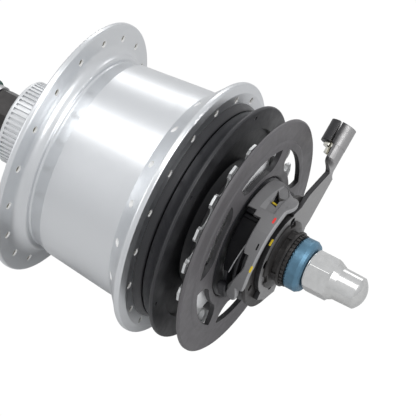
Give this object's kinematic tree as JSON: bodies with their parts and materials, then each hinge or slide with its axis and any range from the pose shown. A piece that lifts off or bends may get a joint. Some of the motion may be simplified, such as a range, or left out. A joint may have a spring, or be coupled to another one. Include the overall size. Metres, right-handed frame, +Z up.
{
  "type": "bicycle hub gear",
  "caption": "Rear bicycle hub with a planetary gearbox inside: spoked shell, chain sprocket with guards, and a cable shifter on the drive side.",
  "frame": {"origin": "on the axle's axis, midway between the two frame dropout faces", "axes": "+Y along the axle to the left (brake) side, so the chain side is -Y; +X forwards, the way the cable arm points; +Z up"},
  "size_m": [0.1152, 0.1981, 0.104],
  "materials": {
    "anodised_shell": "satin anodised",
    "rotor_spline": "machined",
    "black_plastic": "satin",
    "grey_guard": "satin",
    "grey_drum": "satin",
    "arm_metal": "satin",
    "black_steel": "black oxide",
    "blue_washer": "blue plated",
    "green_washer": "green plated",
    "nickel_nut": "satin nickel",
    "plain_steel": "ground",
    "hard_steel": "hardened",
    "sprocket_steel": "plated",
    "brass_ferrule": "bright"
  },
  "bodies": {
    "axle_unit": {"axle": "plain_steel", "left_cone": "black_steel", "left_lock_nut": "black_steel", "left_lock_washer": "plain_steel", "left_non_turn_washer": "green_washer", "left_cap_nut": "nickel_nut", "right_cone": "hard_steel", "right_lock_nut": "black_steel", "right_non_turn_washer": "blue_washer", "right_cap_nut": "nickel_nut", "sun_gear_3": "hard_steel", "low_sun_gear": "hard_steel", "sun_pawls": "hard_steel", "return_spring": "plain_steel", "bracket_base": "black_steel", "bracket_cover": "grey_drum", "cable_arm": "arm_metal", "casing_stop": "brass_ferrule"},
    "shell": {"hub_shell": "anodised_shell", "rotor_spline_mount": "rotor_spline", "left_ball_cup": "hard_steel", "left_dust_seal": "black_plastic", "right_ball_cup": "hard_steel", "right_dust_ring": "black_plastic"},
    "driver_unit": {"driver": "plain_steel", "low_ring_gear": "hard_steel", "sprocket": "sprocket_steel", "inner_chain_guard": "black_plastic", "outer_chain_guard": "grey_guard", "snap_ring": "plain_steel", "driver_dust_cap": "black_plastic"},
    "main_carrier_unit": {"main_carrier": "hard_steel", "main_carrier_plate": "hard_steel", "main_planet_pins": "hard_steel", "direct_drive_pawls": "hard_steel"},
    "main_planet_a": {"main_planet_1": "hard_steel"},
    "main_planet_b": {"main_planet_2": "hard_steel"},
    "main_planet_c": {"main_planet_3": "hard_steel"},
    "main_ring_unit": {"main_ring_gear": "hard_steel", "clutch_cage": "black_plastic", "clutch_rollers": "hard_steel"},
    "small_sun": {"sun_gear_1": "hard_steel"},
    "middle_sun": {"sun_gear_2": "hard_steel"},
    "low_carrier_unit": {"low_carrier": "hard_steel", "low_carrier_plate": "hard_steel", "low_planet_pins": "hard_steel"},
    "low_planet_a": {"low_planet_1": "hard_steel"},
    "low_planet_b": {"low_planet_2": "hard_steel"},
    "low_planet_c": {"low_planet_3": "hard_steel"},
    "shifter": {"cable_pulley": "black_plastic", "shift_cam_sleeve": "hard_steel"},
    "fixing_ring_unit": {"fixing_ring": "black_steel"},
    "left_ball_set": {"left_balls": "hard_steel", "left_ball_retainer": "hard_steel"},
    "driver_ball_set": {"driver_balls": "hard_steel", "driver_ball_retainer": "hard_steel"},
    "shell_ball_set": {"shell_balls": "hard_steel", "shell_ball_retainer": "hard_steel"}
  },
  "joints": [
    {"name": "shell_spin", "type": "hinge", "parent": "axle_unit", "child": "shell", "pos_m": [0, 0, 0], "axis": [0, 1, 0], "continuous": true},
    {"name": "driver_spin", "type": "hinge", "parent": "axle_unit", "child": "driver_unit", "pos_m": [0, 0, 0], "axis": [0, 1, 0], "continuous": true},
    {"name": "main_carrier_spin", "type": "hinge", "parent": "axle_unit", "child": "main_carrier_unit", "pos_m": [0, 0, 0], "axis": [0, 1, 0], "continuous": true},
    {"name": "main_ring_spin", "type": "hinge", "parent": "axle_unit", "child": "main_ring_unit", "pos_m": [0, 0, 0], "axis": [0, 1, 0], "continuous": true},
    {"name": "small_sun_spin", "type": "hinge", "parent": "axle_unit", "child": "small_sun", "pos_m": [0, 0, 0], "axis": [0, 1, 0], "continuous": true},
    {"name": "middle_sun_spin", "type": "hinge", "parent": "axle_unit", "child": "middle_sun", "pos_m": [0, 0, 0], "axis": [0, 1, 0], "continuous": true},
    {"name": "low_carrier_spin", "type": "hinge", "parent": "axle_unit", "child": "low_carrier_unit", "pos_m": [0, 0, 0], "axis": [0, 1, 0], "continuous": true},
    {"name": "main_planet_a_spin", "type": "hinge", "parent": "main_carrier_unit", "child": "main_planet_a", "pos_m": [0.0225, 0, 0], "axis": [0, 1, 0], "continuous": true},
    {"name": "main_planet_b_spin", "type": "hinge", "parent": "main_carrier_unit", "child": "main_planet_b", "pos_m": [-0.01125, 0, 0.01949], "axis": [0, 1, 0], "continuous": true},
    {"name": "main_planet_c_spin", "type": "hinge", "parent": "main_carrier_unit", "child": "main_planet_c", "pos_m": [-0.01125, 0, -0.01949], "axis": [0, 1, 0], "continuous": true},
    {"name": "low_planet_a_spin", "type": "hinge", "parent": "low_carrier_unit", "child": "low_planet_a", "pos_m": [0.021, 0, 0], "axis": [0, 1, 0], "continuous": true},
    {"name": "low_planet_b_spin", "type": "hinge", "parent": "low_carrier_unit", "child": "low_planet_b", "pos_m": [-0.0105, 0, 0.01819], "axis": [0, 1, 0], "continuous": true},
    {"name": "low_planet_c_spin", "type": "hinge", "parent": "low_carrier_unit", "child": "low_planet_c", "pos_m": [-0.0105, 0, -0.01819], "axis": [0, 1, 0], "continuous": true},
    {"name": "pulley_turn", "type": "hinge", "parent": "axle_unit", "child": "shifter", "pos_m": [0, 0, 0], "axis": [0, 1, 0], "range_deg": [0, 72], "stiffness_Nm_per_rad": 0.3, "springref_deg": -20.05},
    {"name": "fixing_ring_turn", "type": "hinge", "parent": "axle_unit", "child": "fixing_ring_unit", "pos_m": [0, 0, 0], "axis": [0, 1, 0], "range_deg": [-45, 0]},
    {"name": "left_ball_spin", "type": "hinge", "parent": "axle_unit", "child": "left_ball_set", "pos_m": [0, 0, 0], "axis": [0, 1, 0], "continuous": true},
    {"name": "driver_ball_spin", "type": "hinge", "parent": "axle_unit", "child": "driver_ball_set", "pos_m": [0, 0, 0], "axis": [0, 1, 0], "continuous": true},
    {"name": "shell_ball_spin", "type": "hinge", "parent": "axle_unit", "child": "shell_ball_set", "pos_m": [0, 0, 0], "axis": [0, 1, 0], "continuous": true}
  ],
  "couplings": [
    {"joint": "main_carrier_spin", "follows": "driver_spin", "ratio": 1},
    {"joint": "main_ring_spin", "follows": "driver_spin", "ratio": 1.6154},
    {"joint": "small_sun_spin", "follows": "driver_spin", "ratio": -1.8132},
    {"joint": "middle_sun_spin", "follows": "driver_spin", "ratio": -0.49451},
    {"joint": "low_carrier_spin", "follows": "driver_spin", "ratio": 0.52381},
    {"joint": "main_planet_a_spin", "follows": "driver_spin", "ratio": 2.4615},
    {"joint": "main_planet_b_spin", "follows": "driver_spin", "ratio": 2.4615},
    {"joint": "main_planet_c_spin", "follows": "driver_spin", "ratio": 2.4615},
    {"joint": "low_planet_a_spin", "follows": "driver_spin", "ratio": 1.3095},
    {"joint": "low_planet_b_spin", "follows": "driver_spin", "ratio": 1.3095},
    {"joint": "low_planet_c_spin", "follows": "driver_spin", "ratio": 1.3095},
    {"joint": "left_ball_spin", "follows": "shell_spin", "ratio": 0.58091},
    {"joint": "driver_ball_spin", "follows": "driver_spin", "ratio": 0.56473},
    {"joint": "shell_ball_spin", "follows": "shell_spin", "ratio": 0.52333}
  ]
}
